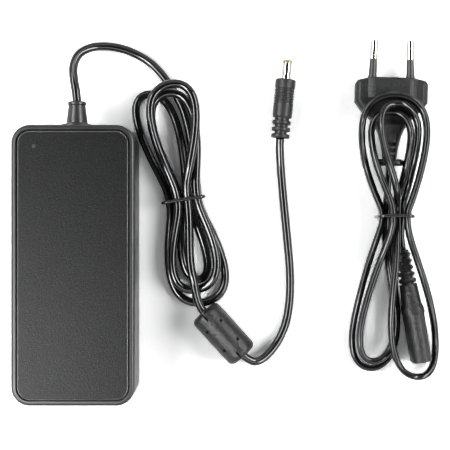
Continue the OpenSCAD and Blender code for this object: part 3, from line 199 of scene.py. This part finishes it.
# ---------------------------------------------------------------- meshes and lines
def add_mesh(name, points, faces, material, smooth=True):
    """A mesh object from points and faces in metres."""
    mesh = bpy.data.meshes.new(name)
    mesh.from_pydata([tuple(p) for p in points], [], faces)
    mesh.materials.append(material)
    for polygon in mesh.polygons:
        polygon.use_smooth = smooth
    piece = bpy.data.objects.new(name, mesh)
    bpy.context.scene.collection.objects.link(piece)
    return piece


def headings(path):
    """Unit directions along a path."""
    last = len(path) - 1
    return [(path[min(i + 1, last)] - path[max(i - 1, 0)]).normalized() for i in range(last + 1)]


def swept_tube(name, path, section, material):
    """A tube along an open path, with its ends closed. section is a list of (side, up) in metres."""
    points, faces = [], []
    sides = len(section)
    for centre, heading in zip(path, headings(path)):
        side = heading.cross(Vector((0, 0, 1))).normalized()
        up = side.cross(heading)
        for across, over in section:
            points.append(centre + side * across + up * over)
    for i in range(len(path) - 1):
        for k in range(sides):
            a, b = i * sides + k, i * sides + (k + 1) % sides
            faces.append((b, a, a + sides, b + sides))
    faces.append(tuple(range(sides)))
    faces.append(tuple(reversed(range((len(path) - 1) * sides, len(path) * sides))))
    return add_mesh(name, points, faces, material)


def closed_tube(name, path, radii, across, material, sides=12):
    """A round tube along a closed flat path. across is the unit direction square to that plane."""
    points, faces = [], []
    count = len(path)
    for i, (centre, radius) in enumerate(zip(path, radii)):
        heading = (path[(i + 1) % count] - path[i - 1]).normalized()
        outward = heading.cross(across)
        for k in range(sides):
            angle = 2 * math.pi * k / sides
            points.append(centre + (outward * math.cos(angle) + across * math.sin(angle)) * radius)
    for i in range(count):
        for k in range(sides):
            a, b = i * sides + k, i * sides + (k + 1) % sides
            onward = (i + 1) % count * sides
            faces.append((b, a, onward + k, onward + (k + 1) % sides))
    return add_mesh(name, points, faces, material)


def rounded_outline(half_x, half_y, radius, steps=10):
    """A closed rounded rectangle about the origin, counterclockwise, as (x, y)."""
    outline = []
    for corner in range(4):
        x_side, y_side = ((1, 1), (-1, 1), (-1, -1), (1, -1))[corner]
        for k in range(steps + 1):
            angle = math.pi / 2 * (corner + k / steps)
            outline.append((x_side * (half_x - radius) + radius * math.cos(angle),
                            y_side * (half_y - radius) + radius * math.sin(angle)))
    return outline


def smooth_line(points, steps):
    """A curve through the points, with the given steps between each two (Catmull-Rom)."""
    line = []
    last = len(points) - 1
    for i in range(last):
        before = points[i - 1] if i else 2 * points[0] - points[1]
        after = points[i + 2] if i + 2 <= last else 2 * points[last] - points[last - 1]
        p, q = points[i], points[i + 1]
        for k in range(steps):
            t = k / steps
            line.append(0.5 * (2 * p + (q - before) * t + (2 * before - 5 * p + 4 * q - after) * t**2
                               + (3 * p - before - 3 * q + after) * t**3))
    line.append(points[last])
    return line


# ---------------------------------------------------------------- cords
# Sizes and places as in the part's source, in millimetres. DC_LEAD_OUT is measured from the strain
# relief's tip, DC_LEAD_IN from the hank's first point, and DC_TAIL from the housing's right side.
HALF_W = 29.0
RELIEF_TIP = Vector((0, 78.3, 15))
DC_R = 2.125
DC_LEAD_OUT = [
    (0, 0, 0), (-0.5, 4.7, -0.1), (-1.6, 10.7, -1), (-2.2, 16.5, -2.5),
    (-1.1, 21.5, -4), (1.4, 25, -5.5), (6.2, 27.6, -7.5), (11.6, 28.5, -9.5),
]
DC_LEAD_IN = [
    (-32.6, 28, 1.9), (-26.5, 26.6, 0.9), (-20.4, 23.9, 0.2), (-15.4, 20.7, 0),
    (-11.1, 16.7, 0), (-6.8, 11.3, 0), (-3.1, 5.7, 0),
]
DC_TAIL = [
    (53.6, -46.6, 7.4), (56.6, -48, 6.6), (60.1, -47.3, 5.5), (63.5, -44.8, 4.3),
    (66.6, -41.3, 3.2), (69.8, -36.2, 2.4), (72.5, -29.2, DC_R), (74.1, -20.5, DC_R),
    (74.6, -11, DC_R), (74.3, -1, DC_R), (73.4, 9.5, DC_R), (72.4, 20, DC_R),
    (71.4, 30.5, DC_R), (70.5, 40.5, DC_R), (69.8, 49.5, 2.7), (69.4, 56.5, 4.1),
]
# A hank's strands cross its waist at its slots, and each lobe leads from one slot to the next. A lobe
# is its side, reach, half width, lean, pinch at its start and at its end, and its layers on the way,
# at LEVEL_SHARES.
DC_SLOTS = [7.1, -7.1, 2.35, -2.35, 6.8, -2.95, 1.95]
DC_LOBES = [
    (-1, 51.5, 8.8, 1.3, 0.16, 0.16, (0, 0, 0, 0, 0, 0, 0)),
    (1, 54.5, 6.2, -7, 0.16, 0.16, (0, 0, 0, 0, 0, 0, 0)),
    (-1, 40, 4.5, 1, 0.16, 0.16, (0, 0, 0, 0, 0, 0, 0)),
    (1, 53, 7.5, -1.5, 0.16, 0.16, (0, 0.2, 1, 1, 1, 1, 1)),
    (-1, 44.5, 7.9, -2.8, 0.16, 0.16, (1, 1, 1, 0.6, 1, 1, 1)),
    (1, 56.6, 9.9, 3.9, 0.16, 0.16, (1, 1.6, 2.1, 2, 2, 2.1, 1)),
]
BEAD_MID = Vector((HALF_W + 41.7, -34.2, 7.95))
BEAD_L = 29.0
BEAD_TURN = math.radians(42.3)
BEAD_WAY = Vector((math.sin(BEAD_TURN), -math.cos(BEAD_TURN), 0))
BEAD_ENTRY = BEAD_MID - BEAD_WAY * BEAD_L / 2
PLUG_END = Vector((HALF_W + 69.5, 61.7, 5))

TWIN_W = 5.1
TWIN_T = 3.1
MAINS_SLOTS = [-4.2, -1.6, -0.5, -5.5, 5.4, 1.3, 4.8]
MAINS_LOBES = [
    (-1, 70.5, 10.1, -7.6, 0.34, 0.14, (0, 0.7, 1, 1.2, 1.4, 1.4, 2)),
    (1, 50.5, 9.2, -2.2, 0.18, 0.04, (2, 1.7, 2.1, 2.4, 2.7, 1.3, 0)),
    (-1, 74.8, 9.9, -8, 0.44, 0.04, (0, 0, 0, 0, 0, 0.7, 1)),
    (1, 58.2, 11.6, -1.3, 0.06, 0.04, (1, 0.7, 2.3, 2.8, 2.6, 2.4, 2)),
    (-1, 78.3, 10.6, 8.8, 0.12, 0.28, (2, 1.8, 0.3, 1.1, 2, 2.4, 1)),
    (1, 54, 9.6, -3.5, 0.4, 0.18, (1, 2.4, 3.5, 3.1, 2.4, 1.2, 0)),
]
MAINS_FACE = Vector((HALF_W + 124, 90.5, 6.85))
MAINS_TURN = math.radians(-1.6)
COLLAR_BACK = 42.6
CONNECTOR_FACE = Vector((HALF_W + 138.3, -47.6, 8.2))
CONNECTOR_TURN = math.radians(9.6)
CONNECTOR_L = 38.0
CONNECTOR_RELIEF_L = 16.5
CONNECTOR_RELIEF_TURN = math.radians(-2.6)
CONNECTOR_TAIL_Z = 4.56

# How far the tie's wire lifts the strands, and how far along the hank that is felt
TIE_LIFT = 1.25
TIE_REACH = 24.0
# How much blunter than a sine a lobe's end is
FULLNESS = 0.15
LEVEL_SHARES = (0, 0.1, 0.3, 0.5, 0.7, 0.9, 1)
LOBE_STEPS = 64
RUN_STEPS = 24
CURVE_STEPS = 8
# How far the cord keeps the direction of the moulding that it runs into
BEAD_HANDLE = 5.5
PLUG_HANDLE = 9.5
CONNECTOR_HANDLE = 10

# A hank's place: its tie's centre, its turn, its lowest strands' height, and its layers' step
DC_PLACE = (Vector((HALF_W + 22, 31.2, 0)), math.radians(9.5), DC_R, 4.72)
MAINS_PLACE = (Vector((HALF_W + 125, 23, 0)), 0.0, TWIN_W / 2, 5.58)


def eased(x):
    """Runs smoothly from 0 to 1 as x does, and stays there on either side."""
    x = min(max(x, 0), 1)
    return x * x * (3 - 2 * x)


def turned(point, angle):
    """A point turned about the Z axis."""
    x, y, z = point
    return Vector((x * math.cos(angle) - y * math.sin(angle),
                   x * math.sin(angle) + y * math.cos(angle), z))


def level_at(levels, t):
    """The layer at the share t of a lobe's way."""
    i = 0
    while i < len(LEVEL_SHARES) - 2 and t >= LEVEL_SHARES[i + 1]:
        i += 1
    share = eased((t - LEVEL_SHARES[i]) / (LEVEL_SHARES[i + 1] - LEVEL_SHARES[i]))
    return levels[i] + (levels[i + 1] - levels[i]) * share


def lobe_point(t, start, end, lobe):
    """A point of one lobe of a hank: (across, along, layer)."""
    side, reach, half_width, lean, pinch_start, pinch_end, levels = lobe
    rise = math.sin(math.pi * t)
    pinch = pinch_start + (pinch_end - pinch_start) * t
    opening = rise**2 / (rise**2 + pinch**2)
    swing = lean * rise - side * half_width * math.sin(2 * math.pi * t)
    across = start + (end - start) * eased(t) + swing * opening
    along = side * reach * rise * (1 + FULLNESS * (1 - rise**2))
    return Vector((across, along, level_at(levels, t)))


def run_point(ends, t):
    """A point of a cubic Bezier curve."""
    a, b, c, d = (Vector(p) for p in ends)
    return (1 - t)**3 * a + 3 * t * (1 - t)**2 * b + 3 * t**2 * (1 - t) * c + t**3 * d


def over_tie(along):
    """Near the tie the strands lie on its wire, and not on the surface."""
    return TIE_LIFT * (1 - eased(abs(along) / TIE_REACH))


def in_hank(point, place):
    """A point of the part's frame, as one across, along and over a hank."""
    tie, turn, rest, layer = place
    across, along, over = turned(point - tie, -turn)
    return Vector((across, along, (over - rest - over_tie(along)) / layer))


def hank_line(slots, lobes, run_in, run_out, place):
    """The cord's line through a hank, in the part's frame."""
    tie, turn, rest, layer = place
    line = [run_point(run, i / RUN_STEPS) for run in run_in for i in range(RUN_STEPS)]
    for n, lobe in enumerate(lobes):
        line += [lobe_point(i / LOBE_STEPS, slots[n], slots[n + 1], lobe) for i in range(LOBE_STEPS)]
    line += [run_point(run, i / RUN_STEPS) for run in run_out for i in range(RUN_STEPS)]
    line.append(Vector(run_out[-1][3]))
    return [tie + turned((across, along, rest + level * layer + over_tie(along)), turn)
            for across, along, level in line]


def dc_hank_line():
    """Through the hank, and into the choke bead."""
    run_in = [((6.5, 46.9, 0), (9.6, 35.6, 0), (8, 14, 0), (DC_SLOTS[0], 0, 0))]
    run_out = [
        ((DC_SLOTS[6], 0, 1), (1.6, -14, 1), (-2.6, -27, 1.85), (-1.6, -38, 1.85)),
        ((-1.6, -38, 1.85), (-1.1, -44, 1.85),
         in_hank(BEAD_ENTRY - BEAD_WAY * BEAD_HANDLE, DC_PLACE), in_hank(BEAD_ENTRY, DC_PLACE)),
    ]
    return hank_line(DC_SLOTS, DC_LOBES, run_in, run_out, DC_PLACE)


def mains_hank_line():
    """Out of the plug's collar, through the hank, and into the connector's strain relief."""
    plug_way = turned((0, -1, 0), MAINS_TURN)
    start = MAINS_FACE + plug_way * COLLAR_BACK
    tilt = math.atan((CONNECTOR_FACE.z - CONNECTOR_TAIL_Z) / CONNECTOR_RELIEF_L)
    relief_way = turned((0, math.cos(tilt), -math.sin(tilt)), CONNECTOR_TURN + CONNECTOR_RELIEF_TURN)
    end = (CONNECTOR_FACE + turned((0, CONNECTOR_L, 0), CONNECTOR_TURN)
           + relief_way * CONNECTOR_RELIEF_L / math.cos(tilt))
    run_in = [(in_hank(start, MAINS_PLACE), in_hank(start + plug_way * PLUG_HANDLE, MAINS_PLACE),
               (-2.6, 10, 0), (MAINS_SLOTS[0], 0, 0))]
    run_out = [((MAINS_SLOTS[6], 0, 0), (4.5, -6, 0),
                in_hank(end + relief_way * CONNECTOR_HANDLE, MAINS_PLACE),
                in_hank(end, MAINS_PLACE))]
    return hank_line(MAINS_SLOTS, MAINS_LOBES, run_in, run_out, MAINS_PLACE)


def round_section(radius, sides=24):
    """A round cord's section."""
    angles = [2 * math.pi * k / sides for k in range(sides)]
    return [(radius * math.cos(a), radius * math.sin(a)) for a in angles]


def twin_section(width, thickness, steps=12):
    """A flat twin cord's section, on edge: two round cores that meet in a groove."""
    radius = thickness / 2
    offset = width / 2 - radius
    groove = 0.85 * math.asin(offset / radius)
    outline = []
    for up in (1, -1):
        for k in range(steps + 1):
            angle = -groove + (math.pi + 2 * groove) * k / steps
            outline.append((up * radius * math.cos(angle), up * (offset + radius * math.sin(angle))))
    return outline


def in_metres(line):
    """A line in millimetres, as one in metres."""
    return [p * MM for p in line]


def wire_tie(name, replaced, body, place, slots, strand_w, strand_h, layers, bow):
    """A coated wire round a hank's waist.

    It is thin where the cord lies on it, and thicker at the sides and over the top, whose middle
    bends along the hank by bow. layers is how many layers lie on the lowest strands at the waist.
    """
    thin, thick, gap = 0.5, 0.85, 0.25
    corner, thick_from = 2.6, 4
    tie, turn, _, layer = place
    half_w = (2 * max(abs(slot) for slot in slots) + strand_w) / 2 + gap + thick
    top = TIE_LIFT + (layers * layer + strand_h) + gap + thick
    path, radii = [], []
    for x, z in rounded_outline(half_w, (top - thin) / 2, corner):
        height = z + (top + thin) / 2
        share = eased(height / thick_from)
        path.append(tie + turned((x, bow * share * (1 - (x / half_w)**2), height), turn))
        radii.append((thin + (thick - thin) * share) * MM)
    piece = closed_tube(name, in_metres(path), radii, turned((0, 1, 0), turn), TIE)
    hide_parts(replaced)
    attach(piece, body)
    return piece


dc_tie_wire = wire_tie("dc_tie_wire", "dc_tie", "adapter", DC_PLACE, DC_SLOTS,
                       strand_w=2 * DC_R, strand_h=2 * DC_R, layers=1, bow=0.3)
mains_tie_wire = wire_tie("mains_tie_wire", "mains_tie", "mains_lead", MAINS_PLACE, MAINS_SLOTS,
                          strand_w=TWIN_T, strand_h=TWIN_W, layers=2, bow=0.8)

hank = dc_hank_line()
lead_points = ([RELIEF_TIP + Vector(p) for p in DC_LEAD_OUT]
               + [hank[0] + Vector(p) for p in DC_LEAD_IN] + [hank[0]])
tail_points = ([BEAD_ENTRY + BEAD_WAY * BEAD_L]
               + [Vector((HALF_W, 0, 0)) + Vector(p) for p in DC_TAIL] + [PLUG_END])
dc_path = in_metres(smooth_line(lead_points, CURVE_STEPS)[:-1] + hank
                    + smooth_line(tail_points, CURVE_STEPS))
dc_cord = swept_tube("dc_cord", dc_path, round_section(DC_R * MM), CORD)
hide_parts("dc_cord_lead", "dc_hank", "dc_cord_tail")
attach(dc_cord, "adapter")

mains_path = in_metres(mains_hank_line())
mains_cord = swept_tube("mains_cord", mains_path, twin_section(TWIN_W * MM, TWIN_T * MM), TWIN_CORD)
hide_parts("mains_hank")
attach(mains_cord, "mains_lead")


# ---------------------------------------------------------------- panel's edge
# The panel's edge: a fine glossy bead round its chamfer, in millimetres. Its light grey colour is a
# painted highlight along the chamfer, over the real gloss that the lamps put on it.
EDGE_HALF_X, EDGE_HALF_Y, EDGE_CORNER = 25.7, 62.7, 5.4
EDGE_Z = 29.67
EDGE_R = 0.28
edge_path = in_metres([Vector((x, y, EDGE_Z))
                       for x, y in rounded_outline(EDGE_HALF_X, EDGE_HALF_Y, EDGE_CORNER)])
panel_edge = closed_tube("panel_edge", edge_path, [EDGE_R * MM] * len(edge_path),
                         Vector((0, 0, 1)), PANEL_EDGE_HIGHLIGHT)
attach(panel_edge, "adapter")


# ---------------------------------------------------------------- studio
LAMP_AIM = Vector((0.07, 0.02, 0.01))
LAMP_DISTANCE = 0.8
# The floor lies just below the part, so that their faces don't meet
FLOOR_HALF = 0.48
FLOOR_DROP = 0.0002


def softbox(name, bearing, elevation, size, radiance, lights=True, mirrored=True):
    """A rectangular lamp that faces the object.

    Its bearing runs from +X towards +Y, in degrees. size is how wide it is and how far it reaches
    up and down, in metres. lights and mirrored say whether it lights the object and whether
    glossy surfaces mirror it.
    """
    lamp = bpy.data.lights.new(name, "AREA")
    lamp.shape = "RECTANGLE"
    lamp.size, lamp.size_y = size
    lamp.energy = radiance * math.pi * size[0] * size[1]
    light = bpy.data.objects.new(name, lamp)
    turn, rise = math.radians(bearing), math.radians(elevation)
    way = Vector((math.cos(rise) * math.cos(turn), math.cos(rise) * math.sin(turn),
                  math.sin(rise)))
    light.location = LAMP_AIM + way * LAMP_DISTANCE
    light.rotation_euler = way.to_track_quat("Z", "Y").to_euler()
    light.visible_diffuse = lights
    light.visible_glossy = mirrored
    bpy.context.scene.collection.objects.link(light)


def seen_or_mirrored(tree, plain, lift):
    """A number that is plain for diffuse rays, and higher by lift for those of the camera, of
    reflections and of glass."""
    ray = tree.nodes.new("ShaderNodeLightPath")
    total = None
    for kind in ("Is Camera Ray", "Is Glossy Ray", "Is Transmission Ray"):
        part = tree.nodes.new("ShaderNodeMath")
        part.operation = "MULTIPLY_ADD"
        part.inputs[1].default_value = lift
        part.inputs[2].default_value = plain
        tree.links.new(ray.outputs[kind], part.inputs[0])
        if total:
            tree.links.new(total, part.inputs[2])
        total = part.outputs["Value"]
    return total


def studio_dome(world, overhead, lighting):
    """A dome that is white near the horizon and dark overhead, of which only the share lighting
    lights the scene."""
    nodes, links = world.node_tree.nodes, world.node_tree.links
    way = nodes.new("ShaderNodeTexCoord")
    height = nodes.new("ShaderNodeSeparateXYZ")
    fall = nodes.new("ShaderNodeMapRange")
    fall.interpolation_type = "SMOOTHSTEP"
    fall.inputs["From Min"].default_value = 0.15
    fall.inputs["From Max"].default_value = 0.65
    fall.inputs["To Min"].default_value = 1
    fall.inputs["To Max"].default_value = overhead
    strength = nodes.new("ShaderNodeMath")
    strength.operation = "MULTIPLY"
    links.new(way.outputs["Generated"], height.inputs["Vector"])
    links.new(height.outputs["Z"], fall.inputs["Value"])
    links.new(fall.outputs["Result"], strength.inputs[0])
    links.new(seen_or_mirrored(world.node_tree, lighting, 1 - lighting), strength.inputs[1])
    links.new(strength.outputs["Value"], nodes["Background"].inputs["Strength"])


def pale_floor(lift):
    """A white floor that keeps the shadows. Seen straight on or mirrored, it is brighter by lift."""
    material, shader = new_material("studio_floor", (0.9, 0.9, 0.9), 0.85, specular=0.1)
    nodes, links = material.node_tree.nodes, material.node_tree.links
    extra = nodes.new("ShaderNodeBsdfDiffuse")
    both = nodes.new("ShaderNodeAddShader")
    links.new(seen_or_mirrored(material.node_tree, 0, lift), extra.inputs["Color"])
    links.new(shader.outputs["BSDF"], both.inputs[0])
    links.new(extra.outputs["BSDF"], both.inputs[1])
    links.new(both.outputs["Shader"], nodes["Material Output"].inputs["Surface"])
    return material


def build_studio():
    """The white surroundings, the lamps, the floor and the camera."""
    scene = bpy.context.scene
    scene.view_settings.view_transform = "Standard"
    world = bpy.data.worlds.new("studio")
    world.use_nodes = True
    world.node_tree.nodes["Background"].inputs["Color"].default_value = (1, 1, 1, 1)
    studio_dome(world, overhead=0.05, lighting=0.45)
    scene.world = world
    softbox("left_strip", 180, 46, (1.0, 0.13), 30.0, lights=False)
    softbox("right_strip", 0, 44, (1.0, 0.13), 30.0, lights=False)
    softbox("front_strip", -90, 50, (1.0, 0.13), 9.0, lights=False)
    softbox("back_strip", 90, 45, (1.0, 0.13), 5.0, lights=False)
    softbox("front_card", -146, 62, (0.22, 0.16), 48.0, lights=False)
    softbox("left_fill", 180, 40, (0.4, 0.5), 6.4, mirrored=False)
    softbox("right_fill", 0, 36, (0.4, 0.5), 6.9, mirrored=False)
    softbox("front_fill", -90, 50, (0.4, 0.4), 1.0, mirrored=False)

    corners = [(x * FLOOR_HALF, y * FLOOR_HALF, 0) for x, y in ((-1, -1), (1, -1), (1, 1), (-1, 1))]
    floor = add_mesh("studio_floor", corners, [(0, 1, 2, 3)], pale_floor(1.35), smooth=False)
    floor.location.z = -FLOOR_DROP

    # Straight down on the middle of the picture
    camera = bpy.data.cameras.new("camera")
    camera.sensor_width = 36
    camera.lens = 83.7
    viewer = bpy.data.objects.new("camera", camera)
    viewer.location = (0.0714, 0.0189, 0.52)
    scene.collection.objects.link(viewer)
    scene.camera = viewer


build_studio()
